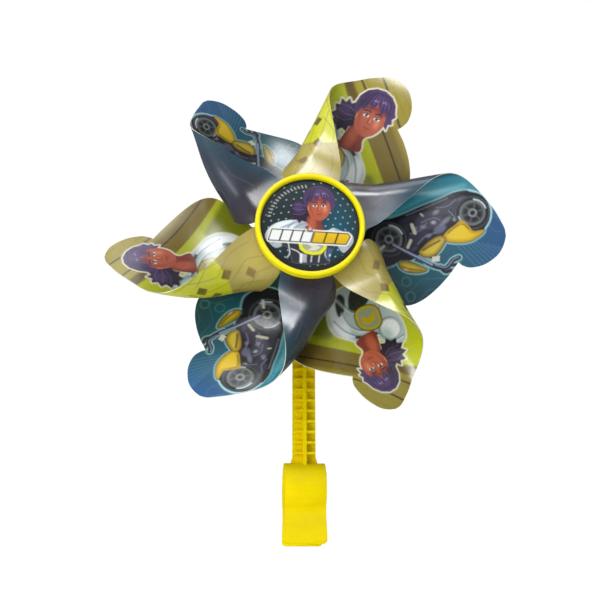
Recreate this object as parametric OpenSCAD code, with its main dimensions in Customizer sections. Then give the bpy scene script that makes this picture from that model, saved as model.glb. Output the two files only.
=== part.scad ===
// Toy wind spinner for a bicycle handlebar: six curled film vanes on a hub, a stem and a push-on clip.
// Millimetres. Origin at the middle of the handlebar bore, +X along the bar, +Z up the stem, -Y to the front.

/* [Stand] */
// height of the rotor axis above the handlebar axis
hub_height = 136; // [100:1:180]
// radius of the handlebar bore
bar_r = 11.1; // [10:0.1:16]
// wall of the clip
clip_wall = 2.5; // [2:0.1:4]
// length of the clip along the handlebar
clip_length = 22; // [16:1:36]
// depth of the flared lips below the bore axis
lip_drop = 28.2; // [22:0.2:36]
// radius of the lips' lower corners
lip_corner = 2.2; // [0.5:0.1:5]
// half width of the stem's cross section
stem_half = 6.3; // [5:0.1:9]
// thickness of the stem's ribs
rib_t = 2; // [1.4:0.1:3]
// spacing of the small webs in the stem
web_pitch = 5.8; // [4:0.1:9]

/* [Rotor] */
// radius of the round hub cap
cap_r = 29.8; // [26:0.1:34]
// width of the cap's raised rim
rim_w = 2.8; // [2:0.1:4]
// depth of the cap's face below the rim
cap_recess = 3.2; // [1.5:0.1:5]
// distance between the rear and front faces the vanes are pinned to
hub_gap = 25.7; // [20:0.1:32]
// distance of the pegs from the rotor axis
peg_ring = 18; // [16:0.5:20]
// radius of a peg
peg_r = 2; // [1.5:0.1:2.4]
// radius of the axle pin
pin_r = 2; // [1.5:0.1:2.5]
// radial running clearance of the rotor on the pin
run_gap = 0.06; // [0.02:0.01:0.1]

/* [Vanes] */
// length of a vane from the rotor axis to its tip
vane_length = 112; // [90:1:130]
// thickness of the printed film
film_t = 0.4; // [0.3:0.05:0.8]
// how far each vane slopes back toward its open side, degrees
vane_pitch = 5; // [3:0.5:9]

/* [Hidden] */
$fn = 72;
fit_gap = 0.03;
ear_gap = 0.05;
// stations along Y, from the stem's boss forward
boss_r = 7.5;
boss_back = stem_half + 0.4;
boss_front = -9.8;
washer_t = 0.8;
washer_r = 4.6;
end_play = 0.1;
rotor_back = boss_front - washer_t - 2 * end_play;
disc_t = 2;
disc_r = 24;
disc_face = rotor_back - disc_t;
ear_rear = disc_face - ear_gap - film_t / 2;
keeper_back = ear_rear - film_t / 2 - ear_gap;
keeper_t = 1.5;
keeper_in = 11;
keeper_out = 23.5;
ear_front = ear_rear - hub_gap;
front_face = ear_front + film_t / 2 + ear_gap;
front_disc_r = 24.5;
sleeve_r = 5;
cap_back = ear_front - film_t / 2 - ear_gap;
cap_plate = 3;
cap_face = cap_back - cap_plate;
cap_front = cap_face - cap_recess;
rim_round = 1.2;
peg_len = 2.4;
front_washer_y = front_face - end_play;
front_washer_t = 0.6;
head_y = front_washer_y - front_washer_t - end_play;
head_t = 1.3;
head_r = 3.8;
pocket_r = 6.5;
pocket_depth = head_t + front_washer_t + 0.7;
label_t = 0.3;
label_r = cap_r - rim_w - 0.15;
nut_t = 1.2;
nut_r = 5;
pin_back = boss_back + nut_t + 1.4;

// flat pattern of one vane: u along the vane, s across it, measured round the curl
join_u = 29.5;
mid_s = 33;
tip_s = 77.7;
u_k = (vane_length - join_u) / (112 - join_u);
notch_u = 86;
edge_in = [[29.5, -10.6], [36, -19.2], [44, -28.8], [51, -34], [58, -35], [66, -32], [74, -26],
    [81, -18.5], [86, -11.5]];
edge_out = [[86, -11.5], [88.5, -13.2], [93, -14.4], [100, -12.8], [106, -8.8], [109.2, -5.2],
    [111.2, -0.6], [112, 3.3]];
edge_free = [[29.5, 77.5], [36, 72.8], [46, 66.5], [58, 58.5], [68, 51.7], [76, 46], [84, 39.8], [92, 32.8],
    [99, 25.6], [105, 18.2], [109, 11.8], [111.3, 7.4], [112, 3.7]];
edge_ear = [[-10.6, 29.1], [-9.5, 26], [-8.6, 22], [-7.8, 18], [-6, 13], [0, 10], [5, 12], [8, 18],
    [10, 21.5], [15, 24.5], [22, 27], [33, 29.1], [38, 28], [42, 25.3], [46.5, 22], [51, 19], [54, 18.8],
    [58, 20.6], [62, 22.3], [66, 22.6], [69, 20], [71, 14.5],
    [74, 11], [77.7, 10], [81.5, 11.5], [84.6, 15.5]];
edge_ear_out = [[77.5, 29.5], [79.6, 27], [82.2, 23.6], [84.6, 19.6]];
ear_join = 77.5;
ear_end = 84.6;
hub_rho = hub_gap / 2;
bend_s = (tip_s - PI * hub_rho) / 2;
front_pitch = 3;
hole_r = peg_r + 0.1;
// rows across the vane, columns along it
rows_flat = 7;
rows_bend_a = 3;
rows_bend_b = 6;
rows_front = 5;
rows_n = rows_flat + rows_bend_a + rows_bend_b + rows_front;
rows_ear = 3;
cols_n = 26;
cols_ear = 4;

// smooth curve through a table of points
function seg_of(t, x, i = 0) = (i >= len(t) - 2 || x <= t[i + 1][0]) ? i : seg_of(t, x, i + 1);
function slope(t, i) = let (a = max(i - 1, 0), b = min(i + 1, len(t) - 1))
    (t[b][1] - t[a][1]) / (t[b][0] - t[a][0]);
function smooth_at(t, x) =
    let (i = seg_of(t, x), h = t[i + 1][0] - t[i][0], f = (x - t[i][0]) / h)
    let (m0 = slope(t, i) * h, m1 = slope(t, i + 1) * h)
    (2 * f * f * f - 3 * f * f + 1) * t[i][1] + (f * f * f - 2 * f * f + f) * m0
    + (3 * f * f - 2 * f * f * f) * t[i + 1][1] + (f * f * f - f * f) * m1;
function ease(x, a, b) = let (t = min(max((x - a) / (b - a), 0), 1)) t * t * (3 - 2 * t);

// edges of the pattern at one distance along the vane
function low_edge(u) = u < notch_u ? smooth_at(edge_in, u) : smooth_at(edge_out, u);
function high_edge(u) = smooth_at(edge_free, u);
function col_u(i) =
    let (f = i / cols_n)
    f < 0.62 ? join_u + (notch_u - join_u) * f / 0.62
        : notch_u + (112 - notch_u) * sin(90 * (f - 0.62) / 0.38);
function row_s(u, j) =
    let (a = low_edge(u), b = high_edge(u), w = b - a)
    let (k1 = min(bend_s, a + 0.6 * w), k2 = min(mid_s, a + 0.75 * w), k3 = min(57, a + 0.93 * w))
    let (j1 = rows_flat, j2 = j1 + rows_bend_a, j3 = j2 + rows_bend_b)
    j <= j1 ? a + (k1 - a) * j / j1
    : j <= j2 ? k1 + (k2 - k1) * (j - j1) / (j2 - j1)
    : j <= j3 ? k2 + (k3 - k2) * (j - j2) / (j3 - j2)
    : k3 + (b - k3) * (j - j3) / (rows_n - j3);
function ear_s(j) = j <= rows_n ? row_s(join_u, j)
    : ear_join + (ear_end - ear_join) * (j - rows_n) / rows_ear;
function ear_right(j) = j <= rows_n ? join_u : smooth_at(edge_ear_out, ear_s(j));
function ear_u(m, j) = let (s = ear_s(j), r = ear_right(j)) r + (smooth_at(edge_ear, s) - r) * m / cols_ear;

// the curl: flat out to the bend, round it, and back to the front peg
function curl(u, s, roll) =
    let (bend_s = bend_s - roll * ease(u, 20, 100))
    let (rear = vane_pitch * ease(u, 23, 44), front = front_pitch * ease(u, 24, 46))
    let (rho = hub_rho - 1.3 * ease(u, 22, 40), turn = 180 - rear - front)
    let (arc = rho * turn * PI / 180, a = rear + min(max((s - bend_s) / arc, 0), 1) * turn)
    let (run = max(s - bend_s - arc, 0))
    s < bend_s ? [s * cos(rear), -s * sin(rear)]
    : [bend_s * cos(rear) + rho * (sin(a) - sin(rear)) - run * cos(front),
       -bend_s * sin(rear) - rho * (cos(rear) - cos(a)) - run * sin(front)];
// one point of the film in space; bend holds the swivel about the pegs, the forward lean of the tip,
// how much tighter the curl gets toward the tip, the sideways sweep and twist of the tip, and the draw-in
function film_at(u, s, bend) =
    let (k = u > join_u ? join_u + (u - join_u) * u_k : u, c = curl(u, s, bend[2]))
    let (t = min(max((u - 52) / 60, 0), 1), twist = bend[4] * ease(u, 34, 100))
    let (v0 = bend[4] > 0 ? bend_s * 0.9 : -20, y0 = -hub_rho, swivel = bend[0])
    let (v = v0 + (c[0] - v0) * cos(twist) - (c[1] - y0) * sin(twist) + bend[3] * ease(u, 30, 112))
    let (y = y0 + (c[0] - v0) * sin(twist) + (c[1] - y0) * cos(twist))
    let (slack = 0.3 * pow(bend[1], 2) * (pow(t, 3) / 3 - pow(t, 4) / 2 + pow(t, 5) / 5))
    let (x = k - peg_ring - slack - bend[5] * ease(u, 40, 112))
    [peg_ring + x * cos(swivel) - v * sin(swivel), y - bend[1] * ease(u, 52, 112),
     x * sin(swivel) + v * cos(swivel)];
function film_skin(u, s, bend, side) =
    let (d = 0.05, p = film_at(u, s, bend))
    let (a = film_at(u + d, s, bend) - film_at(u - d, s, bend))
    let (b = film_at(u, s + d, bend) - film_at(u, s - d, bend))
    let (n = cross(a, b))
    p + side * film_t / 2 * n / norm(n);
main_n = (cols_n + 1) * (rows_n + 1);
ear_rows = rows_n + rows_ear;
function main_id(i, j) = i * (rows_n + 1) + j;
function left_id(m, j) =
    m == 0 ? (j <= rows_n ? main_id(0, j) : main_n + j - rows_n - 1)
    : main_n + rows_ear + (m - 1) * (ear_rows + 1) + j;
film_uv = concat(
    [for (i = [0 : cols_n]) for (j = [0 : rows_n]) [col_u(i), row_s(col_u(i), j)]],
    [for (j = [rows_n + 1 : ear_rows]) [ear_u(0, j), ear_s(j)]],
    [for (m = [1 : cols_ear]) for (j = [0 : ear_rows]) [ear_u(m, j), ear_s(j)]]);
film_quads = concat(
    [for (i = [0 : cols_n - 1]) for (j = [0 : rows_n - 1])
        [main_id(i, j), main_id(i + 1, j), main_id(i + 1, j + 1), main_id(i, j + 1)]],
    [for (m = [0 : cols_ear - 1]) for (j = [0 : ear_rows - 1])
        [left_id(m + 1, j), left_id(m, j), left_id(m, j + 1), left_id(m + 1, j + 1)]]);
film_rim = concat(
    [for (i = [0 : cols_n]) main_id(i, 0)],
    [for (j = [1 : rows_n]) main_id(cols_n, j)],
    [for (i = [1 : cols_n]) main_id(cols_n - i, rows_n)],
    [for (j = [rows_n + 1 : ear_rows]) left_id(0, j)],
    [for (m = [1 : cols_ear]) left_id(m, ear_rows)],
    [for (j = [1 : ear_rows]) left_id(cols_ear, ear_rows - j)],
    [for (m = [1 : cols_ear - 1]) left_id(cols_ear - m, 0)]);
film_count = len(film_uv);

// a round piece along Y from y0 forward by h
module along_y(y0, h, r) {
    translate([0, y0, hub_height])
        rotate([90, 0, 0])
            cylinder(r = r, h = h);
}

// a ring along Y
module ring_y(y0, h, r, r_in) {
    difference() {
        along_y(y0, h, r);
        along_y(y0 + 1, h + 2, r_in);
    }
}

// something at each of the six pegs
module at_pegs(y0, h, r) {
    for (k = [0 : 5])
        translate([peg_ring * cos(60 * k), y0, hub_height + peg_ring * sin(60 * k)])
            rotate([90, 0, 0])
                cylinder(r = r, h = h, $fn = 36);
}

// centre line of a clip leg below the ring, in the Y-Z plane
mouth_a = 50;
leg_mid = bar_r + clip_wall / 2;
leg_top = [leg_mid * cos(mouth_a), -leg_mid * sin(mouth_a)];
leg_y = [[-lip_drop, 12.6], [-23, 11.4], [-17, 8.5], [-13, 7.3], [leg_top[1], leg_top[0]]];
leg_steps = 18;
leg_line = [for (i = [0 : leg_steps])
    let (z = leg_top[1] + (-lip_drop - leg_top[1]) * i / leg_steps) [smooth_at(leg_y, z), z]];
function leg_dir(i) = let (a = leg_line[max(i - 1, 0)], b = leg_line[min(i + 1, leg_steps)], d = b - a)
    d / norm(d);
leg_shape = concat(
    [for (i = [0 : leg_steps]) leg_line[i] + clip_wall / 2 * [leg_dir(i)[1], -leg_dir(i)[0]]],
    [for (i = [0 : leg_steps])
        let (k = leg_steps - i) leg_line[k] - clip_wall / 2 * [leg_dir(k)[1], -leg_dir(k)[0]]]);

module clip_along_x(h) {
    rotate([90, 0, 90])
        translate([0, 0, -h / 2])
            linear_extrude(height = h)
                children();
}

// front outline of the clip, with the lips' lower corners rounded
lip_low = -lip_drop - clip_wall / 2;
lip_top = bar_r + 2 * clip_wall;
function lip_arc(x, from) = [for (a = [from : 10 : from + 90])
    [x + lip_corner * cos(a), lip_low + lip_corner + lip_corner * sin(a)]];
lip_outline = concat([[clip_length / 2, lip_top], [-clip_length / 2, lip_top]],
    lip_arc(lip_corner - clip_length / 2, 180), lip_arc(clip_length / 2 - lip_corner, 270));

module handlebar_clip() {
    color([0.93, 0.85, 0.05])
        intersection() {
            rotate([90, 0, 0])
                translate([0, 0, -2 * lip_drop])
                    linear_extrude(height = 4 * lip_drop)
                        polygon(lip_outline);
            clip_body();
        }
}

module clip_body() {
    difference() {
        union() {
            clip_along_x(clip_length)
                difference() {
                    circle(r = bar_r + clip_wall);
                    polygon([[0, 0], [30 * cos(mouth_a), -30 * sin(mouth_a)],
                        [-30 * cos(mouth_a), -30 * sin(mouth_a)]]);
                }
            for (side = [1, -1])
                clip_along_x(clip_length)
                    scale([side, 1])
                        union() {
                            polygon(leg_shape);
                            translate([12.6, -lip_drop])
                                circle(r = clip_wall / 2);
                        }
        }
        rotate([0, 90, 0])
            translate([0, 0, -clip_length])
                cylinder(r = bar_r, h = 2 * clip_length);
    }
}

foot_z = sqrt(pow(bar_r + clip_wall, 2) - pow(stem_half, 2));
foot_flare = 0.9;
web_first = bar_r + clip_wall + 4.2;
web_t = 1.3;
web_half = stem_half - 0.5;
web_count = floor((hub_height - boss_r - web_first) / web_pitch);

module stem() {
    color([0.93, 0.85, 0.05])
        difference() {
            union() {
                for (a = [0, 90])
                    rotate([0, 0, a])
                        translate([-stem_half, -rib_t / 2, foot_z - 3])
                            cube([2 * stem_half, rib_t, hub_height - foot_z]);
                for (k = [0 : web_count])
                    translate([-web_half, -web_half, web_first + k * web_pitch])
                        cube([2 * web_half, 2 * web_half, web_t]);
                // rib feet spreading on to the clip's crown
                for (a = [0, 180])
                    rotate([0, 0, a])
                        rotate([90, 0, 0])
                            translate([0, 0, -rib_t / 2])
                                linear_extrude(height = rib_t)
                                    polygon([[0, foot_z - 3], [stem_half + foot_flare, foot_z - 3],
                                        [stem_half + foot_flare, bar_r + clip_wall + 0.4],
                                        [stem_half + 0.7, bar_r + clip_wall + 1.4],
                                        [stem_half, bar_r + clip_wall + 3.4], [0, bar_r + clip_wall + 4]]);
                along_y(boss_back, boss_back - boss_front, boss_r);
            }
            along_y(boss_back + 1, boss_back - boss_front + 2, pin_r + fit_gap);
            rotate([0, 90, 0])
                translate([0, 0, -clip_length])
                    cylinder(r = bar_r + clip_wall + fit_gap, h = 2 * clip_length);
        }
}

module axle_pin() {
    color([0.75, 0.76, 0.78])
        union() {
            along_y(pin_back, pin_back - head_y, pin_r);
            translate([0, head_y, hub_height])
                rotate([90, 0, 0])
                    rotate_extrude()
                        polygon([[0, 0], [head_r, 0], [head_r, head_t - 0.6],
                            [head_r - 0.8, head_t], [0, head_t]]);
        }
}

module axle_push_nut() {
    color([0.75, 0.76, 0.78])
        ring_y(boss_back + nut_t + 0.1, nut_t, nut_r, pin_r + fit_gap);
}

module rear_washer() {
    color([0.9, 0.9, 0.9])
        ring_y(boss_front - end_play, washer_t, washer_r, pin_r + run_gap);
}

module hub_sleeve() {
    color([0.93, 0.85, 0.05])
        ring_y(rotor_back, rotor_back - front_face, sleeve_r, pin_r + run_gap);
}

module rear_hub_disc() {
    color([0.93, 0.85, 0.05])
        union() {
            ring_y(rotor_back, disc_t, disc_r, sleeve_r + fit_gap);
            at_pegs(disc_face + 0.5, peg_len + 0.5, peg_r);
        }
}

module rear_keeper_ring() {
    color([0.93, 0.85, 0.05])
        difference() {
            ring_y(keeper_back, keeper_t, keeper_out, keeper_in);
            at_pegs(keeper_back + 1, keeper_t + 2, peg_r + fit_gap);
        }
}

module front_hub_disc() {
    color([0.93, 0.85, 0.05])
        union() {
            ring_y(front_face + disc_t, disc_t, front_disc_r, sleeve_r + fit_gap);
            at_pegs(front_face + 0.5, peg_len + 0.5, peg_r);
        }
}

module front_washer() {
    color([0.9, 0.9, 0.9])
        ring_y(front_washer_y, front_washer_t, washer_r - 0.4, pin_r + run_gap);
}

module hub_cap() {
    color([0.93, 0.85, 0.05])
        difference() {
            translate([0, cap_back, hub_height])
                rotate([90, 0, 0])
                    rotate_extrude($fn = 120)
                        polygon(concat(
                            [[0, 0], [cap_r - 0.8, 0], [cap_r, 0.8]],
                            [for (a = [0 : 15 : 90])
                                [cap_r - rim_round + rim_round * cos(a),
                                    cap_plate + cap_recess - rim_round + rim_round * sin(a)]],
                            [for (a = [90 : 15 : 180])
                                [cap_r - rim_w + rim_round + rim_round * cos(a),
                                    cap_plate + cap_recess - rim_round + rim_round * sin(a)]],
                            [[cap_r - rim_w, cap_plate], [0, cap_plate]]));
            along_y(cap_back + 1, pocket_depth + 1, pocket_r);
            at_pegs(cap_back + 1, peg_len + 1, peg_r + fit_gap);
        }
}

module cap_label() {
    color([0.05, 0.12, 0.14])
        along_y(cap_face, label_t, label_r);
}

// one printed film vane, curled from its rear peg to its front peg; each hangs a little differently
module vane(k, bend) {
    translate([0, ear_rear, hub_height])
        rotate([0, -60 * k, 0])
            difference() {
                polyhedron(
                    points = concat(
                        [for (p = film_uv) film_skin(p[0], p[1], bend, 1)],
                        [for (p = film_uv) film_skin(p[0], p[1], bend, -1)]),
                    faces = concat(
                        [for (q = film_quads) [q[2], q[1], q[0]]],
                        [for (q = film_quads) [q[3], q[2], q[0]]],
                        [for (q = film_quads) [q[0] + film_count, q[1] + film_count, q[2] + film_count]],
                        [for (q = film_quads) [q[0] + film_count, q[2] + film_count, q[3] + film_count]],
                        [for (i = [0 : len(film_rim) - 1])
                            let (a = film_rim[i], b = film_rim[(i + 1) % len(film_rim)])
                            [a, b, b + film_count]],
                        [for (i = [0 : len(film_rim) - 1])
                            let (a = film_rim[i], b = film_rim[(i + 1) % len(film_rim)])
                            [a, b + film_count, a + film_count]]));
                translate([peg_ring, 5, 0])
                    rotate([90, 0, 0])
                        cylinder(r = hole_r, h = hub_gap + 10, $fn = 36);
            }
}

module vane_1() {
    color([0.86, 0.84, 0.2])
        vane(1, [1, 18, -2, 0, 10, 0]);
}

module vane_2() {
    color([0.1, 0.35, 0.45])
        vane(0, [2, 8, -10, -8, -20, 0]);
}

module vane_3() {
    color([0.86, 0.84, 0.2])
        vane(-1, [-4, 18, -2, -4, 35, 0]);
}

module vane_4() {
    color([0.1, 0.35, 0.45])
        vane(-2, [1, 16, -8, -10, -20, 0]);
}

module vane_5() {
    color([0.86, 0.84, 0.2])
        vane(3, [6, 12, -12, 4, -30, 0]);
}

module vane_6() {
    color([0.1, 0.35, 0.45])
        vane(2, [3, 6, -4, 0, -30, 15]);
}

handlebar_clip();
stem();
axle_pin();
axle_push_nut();
rear_washer();
hub_sleeve();
rear_hub_disc();
rear_keeper_ring();
front_hub_disc();
front_washer();
hub_cap();
cap_label();
vane_1();
vane_2();
vane_3();
vane_4();
vane_5();
vane_6();
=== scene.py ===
# Looks of the handlebar pinwheel: printed film vanes, printed cap disc and moulded yellow plastic.
import math

import bmesh
import bpy
import numpy as np
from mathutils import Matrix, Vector


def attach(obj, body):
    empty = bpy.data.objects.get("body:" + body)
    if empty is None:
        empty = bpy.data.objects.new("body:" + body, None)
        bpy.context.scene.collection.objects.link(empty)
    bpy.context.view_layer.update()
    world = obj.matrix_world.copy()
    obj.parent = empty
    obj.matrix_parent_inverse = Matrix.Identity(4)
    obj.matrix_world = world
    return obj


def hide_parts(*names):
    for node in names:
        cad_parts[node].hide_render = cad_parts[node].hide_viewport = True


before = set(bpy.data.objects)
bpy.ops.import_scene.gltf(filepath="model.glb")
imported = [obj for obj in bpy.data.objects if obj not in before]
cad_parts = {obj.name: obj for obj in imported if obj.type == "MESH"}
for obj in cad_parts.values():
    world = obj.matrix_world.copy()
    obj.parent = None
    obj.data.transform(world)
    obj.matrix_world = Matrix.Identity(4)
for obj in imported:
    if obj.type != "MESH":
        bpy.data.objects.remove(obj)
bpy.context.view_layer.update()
MM = 0.001

# ---------------------------------------------------------------- sizes shared with the part's source
HUB_HEIGHT = 136.0
FILM = 0.4
EAR_REAR = -13.05
HUB_GAP = 25.7
PEG_RING = 18.0
JOIN_U = 29.5
NOTCH_U = 86.0
TIP_S = 77.7
HUB_RHO = HUB_GAP / 2
BEND_S = (TIP_S - math.pi * HUB_RHO) / 2
VANE_PITCH = 5.0
FRONT_PITCH = 3.0
EDGE_IN = np.array([(29.5, -10.6), (36, -19.2), (44, -28.8), (51, -34), (58, -35), (66, -32), (74, -26),
                    (81, -18.5), (86, -11.5)])
EDGE_OUT = np.array([(86, -11.5), (88.5, -13.2), (93, -14.4), (100, -12.8), (106, -8.8), (109.2, -5.2),
                     (111.2, -0.6), (112, 3.3)])
EDGE_FREE = np.array([(29.5, 77.5), (36, 72.8), (46, 66.5), (58, 58.5), (68, 51.7), (76, 46), (84, 39.8),
                      (92, 32.8), (99, 25.6), (105, 18.2), (109, 11.8), (111.3, 7.4), (112, 3.7)])
EDGE_EAR = np.array([(-10.6, 29.1), (-9.5, 26), (-8.6, 22), (-7.8, 18), (-6, 13), (0, 10), (5, 12), (8, 18),
                     (10, 21.5), (15, 24.5), (22, 27), (33, 29.1), (38, 28), (42, 25.3), (46.5, 22), (51, 19),
                     (54, 18.8), (58, 20.6), (62, 22.3), (66, 22.6), (69, 20), (71, 14.5), (74, 11),
                     (77.7, 10), (81.5, 11.5), (84.6, 15.5)])
EDGE_EAR_OUT = np.array([(77.5, 29.5), (79.6, 27), (82.2, 23.6), (84.6, 19.6)])
# how each vane hangs: turns of 60 degrees round the hub, its print, and the hang: swivel, forward lean,
# tightening of the curl, sweep and twist of the tip, draw-in
VANES = {
    "vane_1": (1, "rider", (1, 18, -2, 0, 10, 0)),
    "vane_2": (0, "motorbike", (2, 8, -10, -8, -20, 0)),
    "vane_3": (-1, "rider", (-4, 18, -2, -4, 35, 0)),
    "vane_4": (-2, "motorbike", (1, 16, -8, -10, -20, 0)),
    "vane_5": (3, "rider", (6, 12, -12, 4, -30, 0)),
    "vane_6": (2, "motorbike", (3, 6, -4, 0, -30, 15)),
}


def smooth_at(table, x):
    """Smooth curve through a table of points."""
    x = np.asarray(x, float)
    i = np.clip(np.searchsorted(table[:, 0], x, side="left") - 1, 0, len(table) - 2)

    def slope(k):
        a = np.maximum(k - 1, 0)
        b = np.minimum(k + 1, len(table) - 1)
        return (table[b, 1] - table[a, 1]) / (table[b, 0] - table[a, 0])

    h = table[i + 1, 0] - table[i, 0]
    f = (x - table[i, 0]) / h
    m0 = slope(i) * h
    m1 = slope(i + 1) * h
    return ((2 * f**3 - 3 * f**2 + 1) * table[i, 1] + (f**3 - 2 * f**2 + f) * m0
            + (3 * f**2 - 2 * f**3) * table[i + 1, 1] + (f**3 - f**2) * m1)


def ease(x, a, b):
    t = np.clip((x - a) / (b - a), 0, 1)
    return t * t * (3 - 2 * t)


def curl(u, s, roll):
    """Flat out from the rear peg, round the bend and back to the front peg."""
    start = BEND_S - roll * ease(u, 20, 100)
    rear = VANE_PITCH * ease(u, 23, 44)
    front = FRONT_PITCH * ease(u, 24, 46)
    rho = HUB_RHO - 1.3 * ease(u, 22, 40)
    turn = 180 - rear - front
    arc = rho * np.radians(turn)
    a = np.radians(rear + np.clip((s - start) / arc, 0, 1) * turn)
    run = np.maximum(s - start - arc, 0)
    rear = np.radians(rear)
    front = np.radians(front)
    flat = s < start
    v = np.where(flat, s * np.cos(rear),
                 start * np.cos(rear) + rho * (np.sin(a) - np.sin(rear)) - run * np.cos(front))
    y = np.where(flat, -s * np.sin(rear),
                 -start * np.sin(rear) - rho * (np.cos(rear) - np.cos(a)) - run * np.sin(front))
    return v, y


def film_at(u, s, hang):
    swivel, lean, roll, sweep, twist, draw = hang
    c = curl(u, s, roll)
    v0 = BEND_S * 0.9 if twist > 0 else -20
    twist = np.radians(twist) * ease(u, 34, 100)
    v = v0 + (c[0] - v0) * np.cos(twist) - (c[1] + HUB_RHO) * np.sin(twist) + sweep * ease(u, 30, 112)
    y = -HUB_RHO + (c[0] - v0) * np.sin(twist) + (c[1] + HUB_RHO) * np.cos(twist)
    t = np.clip((u - 52) / 60, 0, 1)
    x = u - PEG_RING - 0.3 * lean**2 * (t**3 / 3 - t**4 / 2 + t**5 / 5) - draw * ease(u, 40, 112)
    c, n = math.cos(math.radians(swivel)), math.sin(math.radians(swivel))
    return np.stack([PEG_RING + x * c - v * n, y - lean * ease(u, 52, 112), x * n + v * c], -1)


def film_normal(u, s, hang):
    d = 0.05
    along = film_at(u + d, s, hang) - film_at(u - d, s, hang)
    across = film_at(u, s + d, hang) - film_at(u, s - d, hang)
    n = np.cross(along, across)
    return n / np.linalg.norm(n, axis=-1, keepdims=True)


# ---------------------------------------------------------------- flat pattern as a fine net
NET_COLS = 200
NET_ROWS = 160
EAR_COLS = 30
EAR_ROWS = 12


def row_s(u, f):
    """Place of row fraction f between the two long edges at u."""
    low = np.where(u < NOTCH_U, smooth_at(EDGE_IN, np.minimum(u, NOTCH_U)),
                   smooth_at(EDGE_OUT, np.maximum(u, NOTCH_U)))
    return low + (smooth_at(EDGE_FREE, u) - low) * f


def flat_net():
    """Points and faces of the flat vane, and its outline in order."""
    t = np.linspace(0, 1, NET_COLS + 1)
    u = np.where(t < 0.66, JOIN_U + (NOTCH_U - JOIN_U) * t / 0.66,
                 NOTCH_U + (112 - NOTCH_U) * np.sin(np.pi / 2 * np.clip((t - 0.66) / 0.34, 0, 1)))
    f = np.linspace(0, 1, NET_ROWS + 1)
    main_u = np.repeat(u, NET_ROWS + 1)
    main_s = row_s(main_u, np.tile(f, NET_COLS + 1))
    join = main_s[: NET_ROWS + 1]
    extra = join[-1] + (EDGE_EAR[-1, 0] - join[-1]) * np.arange(1, EAR_ROWS + 1) / EAR_ROWS
    rows = np.concatenate([join, extra])
    right = np.concatenate([np.full(NET_ROWS + 1, JOIN_U), smooth_at(EDGE_EAR_OUT, extra)])
    left = smooth_at(EDGE_EAR, rows)
    pts = [np.stack([main_u, main_s], -1), np.stack([right[NET_ROWS + 1:], extra], -1)]
    for m in range(1, EAR_COLS + 1):
        pts.append(np.stack([right + (left - right) * m / EAR_COLS, rows], -1))
    pts = np.concatenate(pts)
    n_main = (NET_COLS + 1) * (NET_ROWS + 1)
    n_rows = NET_ROWS + EAR_ROWS

    main = np.arange(n_main).reshape(NET_COLS + 1, NET_ROWS + 1)
    first = np.concatenate([main[0], n_main + np.arange(EAR_ROWS)])
    ears = n_main + EAR_ROWS + np.arange(EAR_COLS * (n_rows + 1)).reshape(EAR_COLS, n_rows + 1)
    ears = np.concatenate([first[None], ears])
    quads = np.concatenate([
        np.stack([main[:-1, :-1], main[1:, :-1], main[1:, 1:], main[:-1, 1:]], -1).reshape(-1, 4),
        np.stack([ears[1:, :-1], ears[:-1, :-1], ears[:-1, 1:], ears[1:, 1:]], -1).reshape(-1, 4)])
    rim = np.concatenate([main[:, 0], main[-1, 1:], main[-2::-1, -1], first[NET_ROWS + 1:],
                          ears[1:, -1], ears[-1, -2::-1], ears[-2:0:-1, 0]])
    return pts, quads, rim


# ---------------------------------------------------------------- drawing on the flat sheet
def rgb(r, g, b):
    """Screen colour to linear light."""
    c = np.array([r, g, b], float) / 255
    return np.where(c <= 0.04045, c / 12.92, ((c + 0.055) / 1.055) ** 2.4)


def spline(points, n=6, closed=True):
    """Smooth line through given points."""
    p = np.array(points, float)
    out = []
    count = len(p) if closed else len(p) - 1
    for i in range(count):
        if closed:
            a, b, c, d = p[i - 1], p[i], p[(i + 1) % len(p)], p[(i + 2) % len(p)]
        else:
            a, b, c, d = p[max(i - 1, 0)], p[i], p[i + 1], p[min(i + 2, len(p) - 1)]
        for t in np.arange(n) / n:
            out.append(0.5 * (2 * b + (c - a) * t + (2 * a - 5 * b + 4 * c - d) * t**2
                              + (3 * b - a - 3 * c + d) * t**3))
    if not closed:
        out.append(p[-1])
    return np.array(out)


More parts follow.
